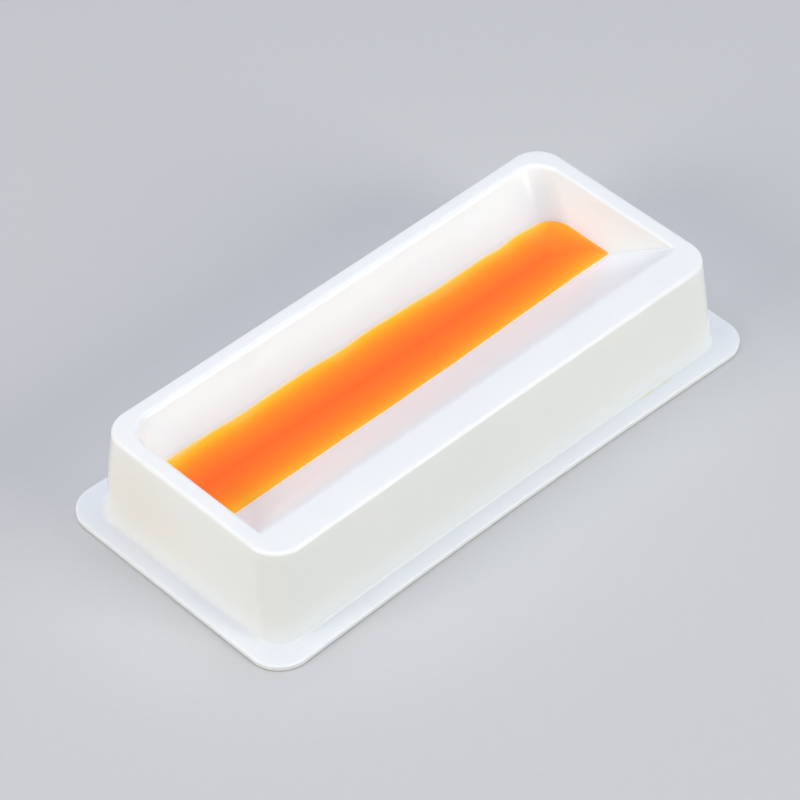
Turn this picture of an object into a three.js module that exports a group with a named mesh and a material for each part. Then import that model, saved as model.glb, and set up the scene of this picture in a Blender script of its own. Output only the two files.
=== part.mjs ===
// Silicone trough mould with a poured bar standing in it.
// Millimetres, +Z up. X runs along the trough and Y across it. The origin is the centre of the
// underside, on the surface that the mould stands on.

import * as THREE from 'three';

// Outer block, measured over the rim.
const TOP_LENGTH = 160;
const TOP_WIDTH = 67.5;
const HEIGHT = 31;
const TOP_CORNER_RADIUS = 8.8;
const TOP_BOW = 0.3;
const RIM_EDGE_RADIUS = 1;

// Wall foot: the walls lean outwards going down and end in a small hollow fillet on the flange.
const WALL_LEAN = 2.3;
const FILLET_WIDTH = 0.8;
const FILLET_HEIGHT = 1.2;
const FOOT_BOW = 0.6;

// Flange that the block stands on.
const FLANGE_LENGTH = 175.5;
const FLANGE_WIDTH = 84.5;
const FLANGE_THICKNESS = 1.8;
const FLANGE_CORNER_RADIUS = 9.5;
const FLANGE_BOW = 1.4;
const FLANGE_EDGE_RADIUS = 0.4;

// Trough: four flat sides that run down to a narrow floor nearer the back wall.
const RIM_AT_ENDS = 5.2;
const RIM_AT_BACK = 5;
const RIM_AT_FRONT = 10.7;
const FLOOR_HEIGHT = 5.8;
const FLOOR_HALF_LENGTH = 72;
const FLOOR_CENTRE_Y = 14.8;
const FLOOR_WIDTH = 1.6;
const BACK_CORNER_RADIUS = 7.6;
const FRONT_CORNER_RADIUS = 0.8;
const FLOOR_CORNER_RADIUS = 0.5;
const MOUTH_EDGE_RADIUS = 0.6;

// Poured bar.
const FILL_LEVEL = 17.4;
const FILL_CLEARANCE = 0.3;

// Steps on each curved stretch.
const CORNER_STEPS = 6;
const LONG_SIDE_STEPS = 8;
const FILLET_STEPS = 3;
const TROUGH_STEPS = 5;
const BAR_STEPS = 4;
const EDGE_STEPS = 3;

const QUARTER_TURN = Math.PI / 2;

const silicone = new THREE.MeshStandardMaterial({ color: 0xf3f5f7, roughness: 0.42, metalness: 0 });
const pouredOrange = new THREE.MeshStandardMaterial({ color: 0xff8038, roughness: 0.12, metalness: 0 });

// One closed outline at height z, anticlockwise seen from above. sides holds the four side
// positions, radii the corner radii at the back (+Y) and the front (-Y). The long sides curve
// inwards by bow at mid-length.
function outline({ left, right, front, back }, radii, z, bow = 0) {
  const corners = [
    [right - radii.back, back - radii.back, radii.back],
    [left + radii.back, back - radii.back, radii.back],
    [left + radii.front, front + radii.front, radii.front],
    [right - radii.front, front + radii.front, radii.front],
  ];
  const points = [];
  corners.forEach(([x, y, radius], index) => {
    for (let step = 0; step <= CORNER_STEPS; step += 1) {
      const angle = (index + step / CORNER_STEPS) * QUARTER_TURN;
      points.push(new THREE.Vector3(x + radius * Math.cos(angle), y + radius * Math.sin(angle), z));
    }
    if (index % 2 === 0) {
      const from = points[points.length - 1];
      const next = corners[index + 1];
      const to = new THREE.Vector3(next[0], from.y, z);
      for (let step = 1; step < LONG_SIDE_STEPS; step += 1) {
        points.push(from.clone().lerp(to, step / LONG_SIDE_STEPS));
      }
    }
  });
  const middle = (front + back) / 2;
  points.forEach((point) => {
    const along = (2 * point.x - left - right) / (right - left);
    point.y -= Math.sign(point.y - middle) * bow * (1 - along * along);
  });
  return points;
}

// An outline centred on the origin.
function centredOutline(length, width, radius, z, bow) {
  const sides = { left: -length / 2, right: length / 2, front: -width / 2, back: width / 2 };
  return outline(sides, { front: radius, back: radius }, z, bow);
}

// Closed skin over a stack of outlines, with a flat face on the first and on the last.
function loft(rings) {
  const count = rings[0].length;
  const positions = rings.flat().flatMap((point) => [point.x, point.y, point.z]);
  const faces = [];
  for (let ring = 0; ring < rings.length - 1; ring += 1) {
    for (let step = 0; step < count; step += 1) {
      const lower = ring * count + step;
      const lowerNext = ring * count + ((step + 1) % count);
      faces.push(lower, lowerNext, lowerNext + count);
      faces.push(lower, lowerNext + count, lower + count);
    }
  }
  const firstOfLast = (rings.length - 1) * count;
  const flat = (ring) => ring.map(({ x, y }) => new THREE.Vector2(x, y));
  const cap = (ring) => THREE.ShapeUtils.triangulateShape(flat(ring), []);
  cap(rings[0]).forEach(([a, b, c]) => faces.push(a, c, b));
  cap(rings[rings.length - 1]).forEach(([a, b, c]) => {
    faces.push(firstOfLast + a, firstOfLast + b, firstOfLast + c);
  });
  const geometry = new THREE.BufferGeometry();
  geometry.setAttribute('position', new THREE.Float32BufferAttribute(positions, 3));
  geometry.setIndex(faces);
  geometry.computeVertexNormals();
  return geometry;
}

// Where the trough's sides stand at height z, moved in from the silicone by clearance.
function troughSides(z, clearance) {
  const depth = HEIGHT - FLOOR_HEIGHT;
  const mouth = {
    left: -TOP_LENGTH / 2 + RIM_AT_ENDS,
    right: TOP_LENGTH / 2 - RIM_AT_ENDS,
    front: -TOP_WIDTH / 2 + RIM_AT_FRONT,
    back: TOP_WIDTH / 2 - RIM_AT_BACK,
  };
  const floor = {
    left: -FLOOR_HALF_LENGTH,
    right: FLOOR_HALF_LENGTH,
    front: FLOOR_CENTRE_Y - FLOOR_WIDTH / 2,
    back: FLOOR_CENTRE_Y + FLOOR_WIDTH / 2,
  };
  const risen = (z - FLOOR_HEIGHT) / depth;
  const sides = {};
  Object.keys(mouth).forEach((side) => {
    const spread = mouth[side] - floor[side];
    const inset = clearance * Math.hypot(1, spread / depth);
    sides[side] = floor[side] + risen * spread - Math.sign(spread) * inset;
  });
  return sides;
}

// One level of the trough. Its corner radii open out from the floor to the mouth, fastest low down.
function troughRing(z, clearance = 0) {
  const opened = 1 - ((HEIGHT - z) / (HEIGHT - FLOOR_HEIGHT)) ** 4;
  const radii = {
    front: THREE.MathUtils.lerp(FLOOR_CORNER_RADIUS, FRONT_CORNER_RADIUS, opened) - clearance,
    back: THREE.MathUtils.lerp(FLOOR_CORNER_RADIUS, BACK_CORNER_RADIUS, opened) - clearance,
  };
  return outline(troughSides(z, clearance), radii, z);
}

// Levels of the trough from one height up to another, closest together low down.
function troughRings(bottom, top, steps, clearance = 0) {
  const rings = [];
  for (let step = 0; step <= steps; step += 1) {
    rings.push(troughRing(THREE.MathUtils.lerp(bottom, top, (step / steps) ** 2), clearance));
  }
  return rings;
}

// The mouth, opened out all round where its edge rounds over on to the rim.
function mouthRing(grow, z) {
  const { left, right, front, back } = troughSides(z, 0);
  const sides = { left: left - grow, right: right + grow, front: front - grow, back: back + grow };
  const radii = { front: FRONT_CORNER_RADIUS + grow, back: BACK_CORNER_RADIUS + grow };
  return outline(sides, radii, z);
}

// Outer outlines, from the underside up to the rim.
function blockRings() {
  const rings = [];
  const flange = (inset, z) => centredOutline(
    FLANGE_LENGTH - 2 * inset,
    FLANGE_WIDTH - 2 * inset,
    FLANGE_CORNER_RADIUS - inset,
    z,
    FLANGE_BOW,
  );
  rings.push(flange(FLANGE_EDGE_RADIUS, 0));
  rings.push(flange(0, FLANGE_EDGE_RADIUS));
  rings.push(flange(0, FLANGE_THICKNESS - FLANGE_EDGE_RADIUS));
  rings.push(flange(FLANGE_EDGE_RADIUS, FLANGE_THICKNESS));
  const block = (grow, z, bow) => centredOutline(
    TOP_LENGTH + 2 * grow,
    TOP_WIDTH + 2 * grow,
    TOP_CORNER_RADIUS + Math.min(grow, 0),
    z,
    bow,
  );
  for (let step = 0; step <= FILLET_STEPS; step += 1) {
    const angle = (step / FILLET_STEPS) * QUARTER_TURN;
    const grow = WALL_LEAN + FILLET_WIDTH * (1 - Math.sin(angle));
    const z = FLANGE_THICKNESS + FILLET_HEIGHT * (1 - Math.cos(angle));
    rings.push(block(grow, z, FOOT_BOW));
  }
  for (let step = 0; step <= EDGE_STEPS; step += 1) {
    const angle = (step / EDGE_STEPS) * QUARTER_TURN;
    const inset = RIM_EDGE_RADIUS * (1 - Math.cos(angle));
    const z = HEIGHT - RIM_EDGE_RADIUS * (1 - Math.sin(angle));
    rings.push(block(-inset, z, TOP_BOW));
  }
  return rings;
}

function mouldBody() {
  const lip = [
    mouthRing(MOUTH_EDGE_RADIUS, HEIGHT),
    mouthRing(MOUTH_EDGE_RADIUS / 4, HEIGHT - MOUTH_EDGE_RADIUS / 4),
  ];
  const trough = troughRings(FLOOR_HEIGHT, HEIGHT - MOUTH_EDGE_RADIUS, TROUGH_STEPS).reverse();
  return loft([...blockRings(), ...lip, ...trough]);
}

function pouredBar() {
  return loft(troughRings(FLOOR_HEIGHT + FILL_CLEARANCE, FILL_LEVEL, BAR_STEPS, FILL_CLEARANCE));
}

function part(name, geometry, material) {
  const mesh = new THREE.Mesh(geometry, material);
  mesh.name = name;
  return mesh;
}

const mould = new THREE.Group();
mould.add(part('mould_body', mouldBody(), silicone));
mould.add(part('poured_fill', pouredBar(), pouredOrange));

export default mould;
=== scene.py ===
"""Silicone trough mould with a poured orange bar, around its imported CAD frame.

Lengths are in metres, in the frame of the part: X along the trough, Y across it, Z up, and the
underside at z = 0. Shape constants are written in millimetres and turned into metres by MM.
"""

import math

import bmesh
import bpy
from mathutils import Matrix, Vector, noise


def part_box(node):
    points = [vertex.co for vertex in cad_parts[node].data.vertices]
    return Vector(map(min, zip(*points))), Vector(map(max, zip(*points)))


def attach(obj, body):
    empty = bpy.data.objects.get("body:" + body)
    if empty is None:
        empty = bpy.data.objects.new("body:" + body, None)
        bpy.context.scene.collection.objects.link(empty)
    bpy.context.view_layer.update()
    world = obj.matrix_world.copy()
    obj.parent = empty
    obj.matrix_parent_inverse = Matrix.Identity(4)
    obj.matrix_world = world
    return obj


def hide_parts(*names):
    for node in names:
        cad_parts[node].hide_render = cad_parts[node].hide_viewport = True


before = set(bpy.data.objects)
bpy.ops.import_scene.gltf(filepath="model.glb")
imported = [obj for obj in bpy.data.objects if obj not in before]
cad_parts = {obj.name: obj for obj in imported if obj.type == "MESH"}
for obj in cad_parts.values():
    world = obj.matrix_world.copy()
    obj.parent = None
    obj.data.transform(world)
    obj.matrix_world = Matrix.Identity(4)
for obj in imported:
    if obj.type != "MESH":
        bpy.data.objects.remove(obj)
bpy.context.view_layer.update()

MM = 0.001
QUARTER_TURN = math.pi / 2

# ---------------------------------------------------------------- sizes, in millimetres

MOULD_LOW, MOULD_HIGH = (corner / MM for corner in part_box("mould_body"))
HEIGHT = MOULD_HIGH.z
FLANGE_LENGTH = MOULD_HIGH.x - MOULD_LOW.x

TOP_LENGTH = 160
TOP_WIDTH = 67.5
TOP_CORNER_RADIUS = 8.8
TOP_BOW = 0.3
RIM_EDGE_RADIUS = 1.0

WALL_LEAN = 2.3
FILLET_WIDTH = 0.8
FILLET_HEIGHT = 1.2
FOOT_BOW = 0.6

FLANGE_WIDTH = 84.5
FLANGE_THICKNESS = 1.8
FLANGE_CORNER_RADIUS = 9.5
FLANGE_BOW = 1.4
FLANGE_EDGE_RADIUS = 0.4

RIM_AT_ENDS = 5.2
RIM_AT_BACK = 5.0
RIM_AT_FRONT = 10.7
FLOOR_HEIGHT = 5.8
FLOOR_HALF_LENGTH = 72
FLOOR_CENTRE_Y = 14.8
FLOOR_WIDTH = 1.6
BACK_CORNER_RADIUS = 7.6
FRONT_CORNER_RADIUS = 0.8
FLOOR_CORNER_RADIUS = 0.5
MOUTH_EDGE_RADIUS = 1.1

# How far the real surfaces wander from the drawn ones, always inwards of the CAD box.
HAND_WAVE = 0.12
HAND_WAVE_LENGTH = 45.0

FILL_LEVEL = 17.3
FILL_TILT = -0.012
FILL_CLEARANCE = 0.05

CORNER_STEPS = 14
LONG_SIDE_STEPS = 72
SHORT_SIDE_STEPS = 26
OUTER_WALL_STEPS = 10
TROUGH_STEPS = 16
LIP_STEPS = 6


# ---------------------------------------------------------------- outlines and skins


def lerp(a, b, t):
    return a + (b - a) * t


def outline(sides, radii, z, bow=0.0):
    """One closed outline at height z, anticlockwise seen from above, in millimetres.

    sides is (left, right, front, back) and radii is (front, back). The long sides curve
    inwards by bow at mid-length.
    """
    left, right, front, back = sides
    front_radius, back_radius = radii
    corners = (
        (right - back_radius, back - back_radius, back_radius),
        (left + back_radius, back - back_radius, back_radius),
        (left + front_radius, front + front_radius, front_radius),
        (right - front_radius, front + front_radius, front_radius),
    )
    arcs = []
    for index, (x, y, radius) in enumerate(corners):
        arc = []
        for step in range(CORNER_STEPS + 1):
            angle = (index + step / CORNER_STEPS) * QUARTER_TURN
            arc.append(Vector((x + radius * math.cos(angle), y + radius * math.sin(angle), z)))
        arcs.append(arc)
    points = []
    for index, arc in enumerate(arcs):
        points += arc
        following = arcs[(index + 1) % 4][0]
        steps = LONG_SIDE_STEPS if index % 2 == 0 else SHORT_SIDE_STEPS
        points += [arc[-1].lerp(following, step / steps) for step in range(1, steps)]
    middle = (front + back) / 2
    for point in points:
        along = (2 * point.x - left - right) / (right - left)
        point.y -= math.copysign(bow * (1 - along * along), point.y - middle)
    return points


def centred(length, width, radius, z, bow):
    return outline((-length / 2, length / 2, -width / 2, width / 2), (radius, radius), z, bow)


def trough_sides(z, clearance=0.0):
    """(left, right, front, back) of the trough at height z, moved in from the silicone."""
    depth = HEIGHT - FLOOR_HEIGHT
    mouth = (
        -TOP_LENGTH / 2 + RIM_AT_ENDS,
        TOP_LENGTH / 2 - RIM_AT_ENDS,
        -TOP_WIDTH / 2 + RIM_AT_FRONT,
        TOP_WIDTH / 2 - RIM_AT_BACK,
    )
    floor = (
        -FLOOR_HALF_LENGTH,
        FLOOR_HALF_LENGTH,
        FLOOR_CENTRE_Y - FLOOR_WIDTH / 2,
        FLOOR_CENTRE_Y + FLOOR_WIDTH / 2,
    )
    risen = (z - FLOOR_HEIGHT) / depth
    sides = []
    for low, high in zip(floor, mouth):
        spread = high - low
        inset = clearance * math.hypot(1, spread / depth)
        sides.append(low + risen * spread - math.copysign(inset, spread))
    return sides


def trough_radii(z):
    """(front, back) corner radii of the trough, which open out fastest low down."""
    opened = 1 - ((HEIGHT - z) / (HEIGHT - FLOOR_HEIGHT)) ** 4
    return (
        lerp(FLOOR_CORNER_RADIUS, FRONT_CORNER_RADIUS, opened),
        lerp(FLOOR_CORNER_RADIUS, BACK_CORNER_RADIUS, opened),
    )


def trough_ring(z, clearance=0.0):
    return outline(trough_sides(z, clearance), trough_radii(z), z)


def closing_rings(ring_at, steps):
    """Rings that shrink evenly from the edge of a flat face to its centre line."""
    return [ring_at(step / steps) for step in range(1, steps + 1)]


def skin(name, rings, tone_of, sharp_rings=()):
    """A closed mesh over a stack of rings whose first and last rings close on a line.

    tone_of turns a point into a number, which is kept on the mesh as the attribute "tone".
    The rings numbered in sharp_rings are creases.
    """
    count = len(rings[0])
    mesh = bmesh.new()
    tone = mesh.verts.layers.float.new("tone")
    rows = []
    for ring in rings:
        row = []
        for point in ring:
            vertex = mesh.verts.new(point * MM)
            vertex[tone] = tone_of(point)
            row.append(vertex)
        rows.append(row)
    for lower, upper in zip(rows, rows[1:]):
        for step in range(count):
            after = (step + 1) % count
            mesh.faces.new((lower[step], lower[after], upper[after], upper[step]))
    for index in sharp_rings:
        row = rows[index]
        for step in range(count):
            mesh.edges.get((row[step], row[(step + 1) % count])).smooth = False
    bmesh.ops.remove_doubles(mesh, verts=mesh.verts, dist=1e-6)
    bmesh.ops.dissolve_degenerate(mesh, edges=mesh.edges, dist=1e-7)
    bmesh.ops.recalc_face_normals(mesh, faces=mesh.faces)
    for face in mesh.faces:
        face.smooth = True
    data = bpy.data.meshes.new(name)
    mesh.to_mesh(data)
    mesh.free()
    piece = bpy.data.objects.new(name, data)
    bpy.context.scene.collection.objects.link(piece)
    weighted = piece.modifiers.new("weighted_normals", "WEIGHTED_NORMAL")
    weighted.keep_sharp = True
    weighted.weight = 60
    return piece


# ---------------------------------------------------------------- the mould


def block_ring(grow, z, bow):
    radius = TOP_CORNER_RADIUS + min(grow, 0)
    return centred(TOP_LENGTH + 2 * grow, TOP_WIDTH + 2 * grow, radius, z, bow)


def flange_ring(inset, z):
    return centred(
        FLANGE_LENGTH - 2 * inset,
        FLANGE_WIDTH - 2 * inset,
        FLANGE_CORNER_RADIUS - inset,
        z,
        FLANGE_BOW,
    )


def quarter(steps):
    return [step / steps * QUARTER_TURN for step in range(steps + 1)]


def underside_rings():
    """From the centre line of the underside out to the flange's lower edge."""
    half_width = FLANGE_WIDTH / 2 - FLANGE_EDGE_RADIUS
    half_length = FLANGE_LENGTH / 2 - FLANGE_EDGE_RADIUS
    radius = FLANGE_CORNER_RADIUS - FLANGE_EDGE_RADIUS

    def ring_at(shrunk):
        inset = shrunk * half_width
        left = 1 - shrunk
        return centred(
            2 * (half_length - inset), 2 * (half_width - inset), radius * left, 0, FLANGE_BOW * left
        )

    return closing_rings(ring_at, 10)[::-1]


def hand_waved(point):
    """The slight unevenness of soft silicone walls, kept inside the drawn shape."""
    wave = noise.noise(point / HAND_WAVE_LENGTH)
    outwards = Vector((point.x, point.y, 0)).normalized()
    return point - outwards * HAND_WAVE * (0.5 + 0.5 * wave)


def mould_rings():
    rings = underside_rings()
    for angle in quarter(4):
        inset = FLANGE_EDGE_RADIUS * (1 - math.sin(angle))
        rings.append(flange_ring(inset, FLANGE_EDGE_RADIUS * (1 - math.cos(angle))))
    for angle in quarter(4):
        inset = FLANGE_EDGE_RADIUS * (1 - math.cos(angle))
        z = FLANGE_THICKNESS - FLANGE_EDGE_RADIUS * (1 - math.sin(angle))
        rings.append(flange_ring(inset, z))
    edge, foot = rings[-1], block_ring(WALL_LEAN + FILLET_WIDTH, FLANGE_THICKNESS, FOOT_BOW)
    for part in (0.15, 0.5, 0.85):
        rings.append([a.lerp(b, part) for a, b in zip(edge, foot)])
    for angle in quarter(6):
        grow = WALL_LEAN + FILLET_WIDTH * (1 - math.sin(angle))
        z = FLANGE_THICKNESS + FILLET_HEIGHT * (1 - math.cos(angle))
        rings.append(block_ring(grow, z, FOOT_BOW))
    low, high = rings[-1], block_ring(0, HEIGHT - RIM_EDGE_RADIUS, TOP_BOW)
    for step in range(1, OUTER_WALL_STEPS):
        part = step / OUTER_WALL_STEPS
        rings.append([hand_waved(a.lerp(b, part)) for a, b in zip(low, high)])
    for angle in quarter(6):
        inset = RIM_EDGE_RADIUS * (1 - math.cos(angle))
        rings.append(block_ring(-inset, HEIGHT - RIM_EDGE_RADIUS * (1 - math.sin(angle)), TOP_BOW))
    rings += lip_rings(rings[-1])
    top = HEIGHT - MOUTH_EDGE_RADIUS
    for step in range(TROUGH_STEPS + 1):
        rings.append(trough_ring(lerp(FLOOR_HEIGHT, top, (1 - step / TROUGH_STEPS) ** 2)))
    sides, radii = trough_sides(FLOOR_HEIGHT), trough_radii(FLOOR_HEIGHT)
    rings += closing_rings(lambda shrunk: shrunk_ring(sides, radii, FLOOR_HEIGHT, shrunk), 2)
    return rings


def shrunk_ring(sides, radii, z, shrunk, end_share=1.0):
    """An outline drawn in from all its sides, until at shrunk = 1 it closes on a line."""
    left, right, front, back = sides
    inset = shrunk * (back - front) / 2
    along = inset * end_share
    left_over = 1 - shrunk
    return outline(
        (left + along, right - along, front + inset, back - inset),
        (radii[0] * left_over, radii[1] * left_over),
        z,
    )


def lip_rings(outer):
    """Across the flat rim, then over the rounded edge of the mouth."""
    rings = []
    mouth = trough_sides(HEIGHT)
    start = MOUTH_EDGE_RADIUS * 0.8

    def mouth_ring(grow, z):
        left, right, front, back = mouth
        sides = (left - grow, right + grow, front - grow, back + grow)
        return outline(sides, (FRONT_CORNER_RADIUS + grow, BACK_CORNER_RADIUS + grow), z)

    inner = mouth_ring(start, HEIGHT)
    for part in (0.12, 0.5, 0.88):
        rings.append([a.lerp(b, part) for a, b in zip(outer, inner)])
    below = trough_ring(HEIGHT - MOUTH_EDGE_RADIUS)
    corner = mouth_ring(0, HEIGHT)
    for step in range(LIP_STEPS):
        t = step / LIP_STEPS
        ring = []
        for a, b, c in zip(inner, corner, below):
            ring.append(a.lerp(b, t).lerp(b.lerp(c, t), t))
        rings.append(ring)
    return rings


# A point counts as inside the trough within these margins of its walls and floor, and fully so
# from INSIDE_DEPTH below the mouth.
WALL_MARGIN = 0.05
FLOOR_MARGIN = 0.01
INSIDE_DEPTH = 4


def trough_tone(point):
    """0 outside the trough and at its mouth, rising to 1 a little way down inside."""
    if point.z < FLOOR_HEIGHT - FLOOR_MARGIN:
        return 0.0
    left, right, front, back = trough_sides(point.z)
    within_length = left - WALL_MARGIN <= point.x <= right + WALL_MARGIN
    within_width = front - WALL_MARGIN <= point.y <= back + WALL_MARGIN
    if not (within_length and within_width):
        return 0.0
    return smooth_between(((0, 0.0), (INSIDE_DEPTH, 1.0)), HEIGHT - point.z)


def make_mould():
    piece = skin("silicone_mould", mould_rings(), trough_tone)
    piece.data.materials.append(silicone())
    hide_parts("mould_body")
    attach(piece, "mould")


# ---------------------------------------------------------------- the poured bar

# Height of the waterline above the level along each long side: (x, rise), joined by a smooth curve.
BACK_WATERLINE = (
    (-75, 0.6), (-58, 0.6), (-41, 0.1), (-30, 0.45), (-17, 0.4), (-6, 0.05), (4, 0.45), (17, 0.25),
    (29, -0.15), (40, 0.0), (47, 0.15), (52, -0.1), (60, 0.35), (67, -0.1), (75, -0.4),
)
FRONT_WATERLINE = (
    (-75, -0.1), (-50, -0.05), (-30, 0.05), (-8, 0.4), (0, 0.3), (10, 0.4), (24, 0.1), (40, -0.25),
    (58, -0.5), (75, -0.5),
)
KEEL_STEPS = 2
WALL_STEPS = 12
WATERLINE_RING = KEEL_STEPS + WALL_STEPS
MENISCUS_REACH = 3.0
END_SHARE = 0.77
SURFACE_INSETS = (0, 0.15, 0.35, 0.6, 0.9, 1.3, 1.8, 2.4, 3.1, 3.9, 4.8, 5.8, 6.9, 8.0, 9.0, 9.8, 10.4,
                  10.9, 11.4, 11.9)

# How far the pour thins out to a pale film along the back, and how its far end hides the keel.
BACK_FILM = 0.9
END_TONE = 8.6
END_REACH = 3.6
END_LENGTH = 11.8
HIP_START = 1.9
HIP_SLOPE = 0.65
HIP_FALL = 0.35

END_OPENING = 6.0
END_SOFTNESS = 0.8

# The pour is painted a little paler towards its near end, painted light that lifts the shade of the
# near end wall.
NEAR_END_PAINTED_LIGHT = 1.5
NEAR_END_REACH = 28.0

# Below the surface its colour deepens from DEPTH_START down.
DEPTH_START = 1.0
DEPTH_TONE = 0.9


def smooth_between(points, x):
    """A smooth curve through points, each (x, value), flat at both ends."""
    if x <= points[0][0]:
        return points[0][1]
    for (x0, y0), (x1, y1) in zip(points, points[1:]):
        if x <= x1:
            t = (x - x0) / (x1 - x0)
            return lerp(y0, y1, t * t * (3 - 2 * t))
    return points[-1][1]


def level_at(x):
    return FILL_LEVEL + FILL_TILT * x


def contact_height(point):
    """Height at which the pour meets the trough near a point of its outline."""
    back_share = smooth_between(((0, 0.0), (16, 1.0)), point.y)
    back = smooth_between(BACK_WATERLINE, point.x)
    front = smooth_between(FRONT_WATERLINE, point.x)
    return level_at(point.x) + lerp(front, back, back_share)


def wall_ring(share):
    """The pour against the trough's walls, from its keel at share 0 to its waterline at 1."""
    clearance = FILL_CLEARANCE * (1 - share)
    z = lerp(FLOOR_HEIGHT + FILL_CLEARANCE, FILL_LEVEL, share)
    ring = []
    for here, above in zip(trough_ring(z, clearance), trough_ring(z + 1, clearance)):
        rise = contact_height(here) - FILL_LEVEL
        ring.append(here + (above - here) * rise * share)
    return ring


def bar_rings():
    """Rings of the poured bar, from its keel up the trough's sides and in over its surface."""
    keel_z = FLOOR_HEIGHT + FILL_CLEARANCE
    keel_sides, keel_radii = trough_sides(keel_z, FILL_CLEARANCE), trough_radii(keel_z)
    keel = closing_rings(
        lambda shrunk: shrunk_ring(keel_sides, keel_radii, keel_z, shrunk), KEEL_STEPS
    )
    rings = keel[::-1] + [wall_ring((step / WALL_STEPS) ** 2) for step in range(WALL_STEPS)]
    edge = wall_ring(1)
    guide = trough_ring(FILL_LEVEL)
    sides, radii = trough_sides(FILL_LEVEL), trough_radii(FILL_LEVEL)
    half_width = (sides[3] - sides[2]) / 2
    for inset in (*SURFACE_INSETS, half_width):
        shrunk = inset / half_width
        drawn_in = shrunk_ring(sides, radii, 0, shrunk, END_SHARE)
        ring = []
        for point, at_wall, at_edge in zip(drawn_in, guide, edge):
            pull = at_edge - at_wall
            pull.z = 0
            place = point + pull * (1 - shrunk)
            rise = (at_edge.z - level_at(place.x)) * math.exp(-inset / MENISCUS_REACH)
            place.z = level_at(place.x) + rise * (1 - shrunk)
            ring.append(place)
        rings.append(ring)
    return rings


def side_at(sides, waterline, index, x):
    """Where the pour meets the front (2) or back (3) side of the trough at x."""
    low, high = trough_sides(FLOOR_HEIGHT)[index], trough_sides(HEIGHT)[index]
    rise = level_at(x) + smooth_between(waterline, x) - FILL_LEVEL
    return sides[index] + rise * (high - low) / (HEIGHT - FLOOR_HEIGHT)


def surface_tone(point):
    """Distance in millimetres that sets the pour's colour: 0 at its edge, most over its keel.

    Below the surface the depth counts too, so that the bar's ends and sides darken downwards.
    """
    sides = trough_sides(FILL_LEVEL)
    from_front = point.y - side_at(sides, FRONT_WATERLINE, 2, point.x)
    from_back = side_at(sides, BACK_WATERLINE, 3, point.x) - point.y - BACK_FILM
    from_end = sides[1] - point.x
    past_hip = max(0, point.y - HIP_START - HIP_SLOPE * from_end)
    hidden = (END_TONE - HIP_FALL * past_hip) * (1 - math.exp(-from_end / END_REACH))
    limits = (END_LENGTH - END_SOFTNESS, 0), (END_LENGTH + END_SOFTNESS, 1)
    opened = END_OPENING * smooth_between(limits, from_end)
    across = min(from_front, from_back, hidden + opened)
    # Painted light: the tone falls towards the near end, so that the pour there is painted paler.
    near_end_painted_light = NEAR_END_PAINTED_LIGHT * math.exp((sides[0] - point.x) / NEAR_END_REACH)
    depth = level_at(point.x) - point.z - DEPTH_START
    return max(across - min(near_end_painted_light, max(across, 0)), DEPTH_TONE * depth)


def make_bar():
    piece = skin("poured_bar", bar_rings(), surface_tone, sharp_rings=(WATERLINE_RING,))
    piece.data.materials.append(poured_orange())
    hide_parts("poured_fill")
    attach(piece, "fill")


# ---------------------------------------------------------------- materials


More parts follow.
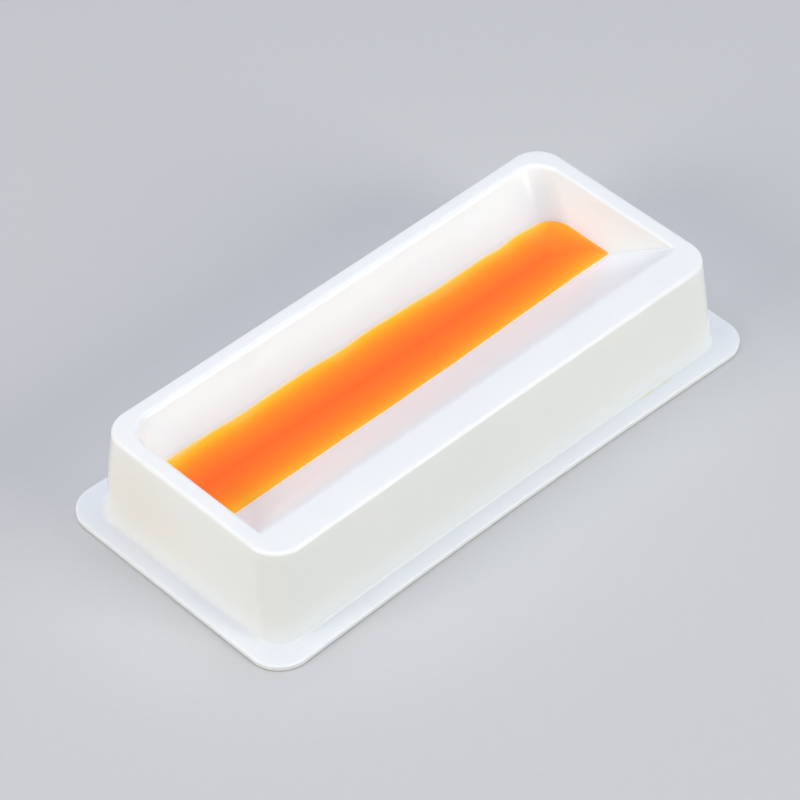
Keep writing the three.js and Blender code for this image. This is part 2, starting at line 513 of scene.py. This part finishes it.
class Nodes:
    """Short calls for building one material's node tree."""

    def __init__(self, name):
        self.material = bpy.data.materials.new(name)
        self.material.use_nodes = True
        self.tree = self.material.node_tree
        self.shader = self.tree.nodes["Principled BSDF"]

    def add(self, kind, **settings):
        node = self.tree.nodes.new(kind)
        for key, value in settings.items():
            setattr(node, key, value)
        return node

    def link(self, source, target):
        self.tree.links.new(source, target)

    def position(self):
        return self.add("ShaderNodeTexCoord").outputs["Object"]

    def noise(self, vector, size, detail=3.0, roughness=0.5):
        """Noise whose features are about size metres across, from 0 to 1."""
        node = self.add("ShaderNodeTexNoise")
        node.inputs["Scale"].default_value = 1 / size
        node.inputs["Detail"].default_value = detail
        node.inputs["Roughness"].default_value = roughness
        self.link(vector, node.inputs["Vector"])
        return node.outputs["Fac"]

    def math(self, operation, a, b=None, clamp=False):
        node = self.add("ShaderNodeMath", operation=operation, use_clamp=clamp)
        for socket, value in zip(node.inputs, (a, b)):
            if value is None:
                continue
            if isinstance(value, (int, float)):
                socket.default_value = value
            else:
                self.link(value, socket)
        return node.outputs[0]

    def spread(self, value, low, high, new_low, new_high):
        node = self.add("ShaderNodeMapRange", interpolation_type="SMOOTHSTEP")
        for name, number in (
            ("From Min", low), ("From Max", high), ("To Min", new_low), ("To Max", new_high)
        ):
            node.inputs[name].default_value = number
        self.link(value, node.inputs["Value"])
        return node.outputs["Result"]

    def blend(self, factor, under, over):
        """under turned into over by factor. Each is a socket or an (r, g, b)."""
        node = self.add("ShaderNodeMix", data_type="RGBA")
        self.link(factor, node.inputs["Factor"])
        for socket, value in ((node.inputs["A"], under), (node.inputs["B"], over)):
            if isinstance(value, tuple):
                socket.default_value = (*value, 1)
            else:
                self.link(value, socket)
        return node.outputs["Result"]

    def ramp(self, value, stops):
        node = self.add("ShaderNodeValToRGB")
        elements = node.color_ramp.elements
        while len(elements) < len(stops):
            elements.new(0.5)
        for element, (place, colour) in zip(elements, stops):
            element.position = place
            element.color = (*colour, 1)
        self.link(value, node.inputs["Fac"])
        return node.outputs["Color"]

    def near(self, position, centre, size):
        """1 at centre, falling to 0 at size away from it along each axis."""
        away = self.add("ShaderNodeVectorMath", operation="SUBTRACT")
        self.link(position, away.inputs[0])
        away.inputs[1].default_value = centre
        scaled = self.add("ShaderNodeVectorMath", operation="DIVIDE")
        self.link(away.outputs[0], scaled.inputs[0])
        scaled.inputs[1].default_value = size
        length = self.add("ShaderNodeVectorMath", operation="LENGTH")
        self.link(scaled.outputs[0], length.inputs[0])
        return self.spread(length.outputs["Value"], 0.0, 1.0, 1.0, 0.0)

    def bump(self, heights):
        """Bumps in turn, each (height socket, distance in metres, strength)."""
        normal = None
        for height, distance, strength in heights:
            node = self.add("ShaderNodeBump")
            node.inputs["Distance"].default_value = distance
            node.inputs["Strength"].default_value = strength
            self.link(height, node.inputs["Height"])
            if normal is not None:
                self.link(normal, node.inputs["Normal"])
            normal = node.outputs["Normal"]
        self.link(normal, self.shader.inputs["Normal"])


# Faint stains on the silicone: (centre, reach along each axis, colour, strength), in metres.
STAINS = (
    ((0.0200, 0.0265, 0.0204), (0.0011, 0.0011, 0.0011), (0.86, 0.83, 0.55), 0.35),
    ((0.0014, -0.0267, 0.0310), (0.0013, 0.0010, 0.0010), (0.84, 0.85, 0.70), 0.25),
    ((0.0585, -0.0368, 0.0021), (0.0045, 0.0009, 0.0012), (0.74, 0.82, 0.42), 0.55),
    ((0.0520, -0.0366, 0.0021), (0.0050, 0.0009, 0.0012), (0.74, 0.82, 0.42), 0.55),
)


def silicone():
    """Glossy white silicone, faintly stained.

    It is cool outside. Painted light: it is painted cooler at its foot and paler and cooler inside the
    trough, with a warm painted glow from the pour on the near end wall, and palest inside the trough's
    near end, painted where light comes through the wall.
    """
    n = Nodes("silicone")
    place = n.position()
    inside = n.add("ShaderNodeAttribute", attribute_name="tone").outputs["Fac"]
    cloud = n.noise(place, 0.03, detail=4)
    colour = n.blend(n.spread(cloud, 0.35, 0.65, 0, 1), (0.855, 0.873, 0.892), (0.872, 0.886, 0.90))
    # Painted light: inside the trough the silicone is painted paler and cooler, against the warm light
    # that the pour bounces on to it.
    colour = n.blend(inside, colour, (0.863, 0.90, 0.922))
    # Painted light: the trough's near end is painted palest, standing in for light that comes through
    # the wall.
    painted_light_near_end = n.math("MULTIPLY", inside, n.near(place, (-0.066, -0.012, 0.022), (0.055, 0.036, 0.04)))
    colour = n.blend(painted_light_near_end, colour, (0.96, 0.985, 0.955))
    height = n.add("ShaderNodeSeparateXYZ")
    n.link(place, height.inputs[0])
    # Painted light: the foot of the wall is painted cooler, standing in for the cool light that falls
    # there.
    foot = n.spread(height.outputs["Z"], 0.0035, 0.009, 1, 0)
    colour = n.blend(foot, colour, (0.868, 0.897, 0.95))
    # Painted light: a warm glow from the pour is painted on the near end wall, as if its light came
    # through the silicone.
    painted_pour_glow = n.near(place, (-0.081, 0.018, 0.015), (0.012, 0.032, 0.022))
    colour = n.blend(n.math("MULTIPLY", painted_pour_glow, 0.8), colour, (0.87, 0.845, 0.815))
    for centre, reach, stain, strength in STAINS:
        spot = n.near(place, centre, reach)
        colour = n.blend(n.math("MULTIPLY", spot, strength), colour, stain)
    grain = n.noise(place, 0.0011, detail=3, roughness=0.6)
    n.link(colour, n.shader.inputs["Base Color"])
    n.link(n.spread(cloud, 0.3, 0.7, 0.17, 0.21), n.shader.inputs["Roughness"])
    n.shader.inputs["IOR"].default_value = 1.42
    n.shader.inputs["Subsurface Weight"].default_value = 0.4
    n.shader.inputs["Subsurface Radius"].default_value = (1.0, 0.9, 0.8)
    n.shader.inputs["Subsurface Scale"].default_value = 0.0045
    ripple = n.noise(place, 0.018, detail=2)
    n.bump(((ripple, 0.0006, 0.2), (grain, 0.00004, 0.3)))
    return n.material


# Colours of the pour from its thin edge to its keel: (tone in millimetres, colour).
POUR_COLOURS = (
    (-0.9, (0.96, 0.70, 0.30)),
    (-0.4, (0.97, 0.58, 0.09)),
    (0.0, (0.98, 0.475, 0.012)),
    (1.2, (0.98, 0.375, 0.006)),
    (2.8, (0.98, 0.29, 0.006)),
    (4.4, (0.98, 0.24, 0.006)),
    (6.0, (0.98, 0.20, 0.007)),
    (7.6, (0.98, 0.178, 0.008)),
    (9.2, (0.98, 0.161, 0.008)),
    (10.8, (0.98, 0.146, 0.008)),
    (11.8, (0.98, 0.134, 0.007)),
    (12.6, (0.98, 0.125, 0.007)),
)
TONE_LOW, TONE_HIGH = -1.5, 13.5


def poured_orange():
    """Clear orange melt over white silicone: pale gold where thin, red orange where deep.

    The light that it throws on to the silicone is paler, because the white mould shines through. It
    also glows faintly, painted light for light carried inside the melt.
    """
    n = Nodes("poured_orange")
    place = n.position()
    tone = n.add("ShaderNodeAttribute", attribute_name="tone").outputs["Fac"]
    swirl = n.noise(place, 0.012, detail=3)
    wander = n.math("MULTIPLY", n.math("SUBTRACT", swirl, 0.5), 0.5)
    place_on_ramp = n.math(
        "DIVIDE",
        n.math("SUBTRACT", n.math("ADD", tone, wander), TONE_LOW),
        TONE_HIGH - TONE_LOW,
        clamp=True,
    )
    stops = [((at - TONE_LOW) / (TONE_HIGH - TONE_LOW), colour) for at, colour in POUR_COLOURS]
    painted = n.ramp(place_on_ramp, stops)
    bounced = n.add("ShaderNodeLightPath").outputs["Is Diffuse Ray"]
    n.link(n.blend(bounced, painted, (0.90, 0.58, 0.54)), n.shader.inputs["Base Color"])
    n.link(n.spread(swirl, 0.3, 0.7, 0.05, 0.1), n.shader.inputs["Roughness"])
    n.shader.inputs["IOR"].default_value = 1.47
    n.shader.inputs["Specular IOR Level"].default_value = 0.3
    # Painted light: the pour glows faintly, standing in for light carried inside the clear melt.
    n.shader.inputs["Emission Color"].default_value = (1, 0.055, 0.01, 1)
    n.shader.inputs["Emission Strength"].default_value = 0.14
    n.bump(((n.noise(place, 0.02, detail=1), 0.0003, 0.15),))
    return n.material


# ---------------------------------------------------------------- floor, light and camera


def make_floor():
    mesh = bmesh.new()
    bmesh.ops.create_grid(mesh, x_segments=8, y_segments=8, size=4)
    data = bpy.data.meshes.new("floor")
    mesh.to_mesh(data)
    mesh.free()
    floor = bpy.data.objects.new("floor", data)
    floor.location.z = MOULD_LOW.z * MM
    bpy.context.scene.collection.objects.link(floor)
    n = Nodes("floor_paper")
    grain = n.noise(n.position(), 0.002, detail=2)
    n.link(n.blend(grain, (0.56, 0.565, 0.575), (0.58, 0.585, 0.595)), n.shader.inputs["Base Color"])
    n.shader.inputs["Roughness"].default_value = 0.75
    data.materials.append(n.material)


def make_light(name, place, aim, size, power, colour):
    light = bpy.data.lights.new(name, "AREA")
    light.shape = "RECTANGLE"
    light.size, light.size_y = size
    light.energy = power
    light.color = colour
    lamp = bpy.data.objects.new(name, light)
    lamp.location = place
    lamp.rotation_euler = (Vector(aim) - Vector(place)).to_track_quat("-Z", "Y").to_euler()
    lamp.visible_camera = False
    bpy.context.scene.collection.objects.link(lamp)


def make_lights():
    """A cool softbox overhead, a warmer one on each side of the camera, and a pale surround.

    The surround is seen in reflections only, and doesn't light the surfaces.
    """
    above, left, right = (0.1, 0.15, 1.3), (-1.25, 0.25, 0.55), (0.45, -1.25, 0.55)
    make_light("overhead_softbox", above, (0, 0, 0), (1.5, 1.2), 16.1, (0.815, 0.86, 0.99))
    make_light("left_softbox", left, (0, 0, 0), (0.8, 0.8), 11.2, (1, 0.95, 0.81))
    make_light("right_softbox", right, (0, 0, 0), (0.8, 0.8), 12.0, (1, 0.985, 0.86))
    world = bpy.data.worlds.new("studio")
    bpy.context.scene.world = world
    world.use_nodes = True
    background = world.node_tree.nodes["Background"]
    background.inputs["Color"].default_value = (0.97, 0.98, 1, 1)
    background.inputs["Strength"].default_value = 0.85
    world.cycles_visibility.diffuse = False


CAMERA_AIM = (0.0040, 0.0097, 0)
CAMERA_DISTANCE = 1.058
CAMERA_AZIMUTH = -42.97
CAMERA_ELEVATION = 44.55
CAMERA_ROLL = -1.09
CAMERA_LENS = 177.1


def make_camera():
    azimuth, elevation = math.radians(CAMERA_AZIMUTH), math.radians(CAMERA_ELEVATION)
    back = Vector((
        math.sin(azimuth) * math.cos(elevation),
        -math.cos(azimuth) * math.cos(elevation),
        math.sin(elevation),
    ))
    data = bpy.data.cameras.new("camera")
    data.sensor_width = 36
    data.lens = CAMERA_LENS
    data.clip_start, data.clip_end = 0.05, 20
    camera = bpy.data.objects.new("camera", data)
    turn = (-back).to_track_quat("-Z", "Y").to_matrix()
    roll = Matrix.Rotation(math.radians(CAMERA_ROLL), 3, "Z")
    camera.matrix_world = Matrix.Translation(Vector(CAMERA_AIM) + back * CAMERA_DISTANCE) @ (
        (turn @ roll).to_4x4()
    )
    bpy.context.scene.collection.objects.link(camera)
    bpy.context.scene.camera = camera


make_mould()
make_bar()
make_floor()
make_lights()
make_camera()
bpy.context.scene.view_settings.view_transform = "Standard"
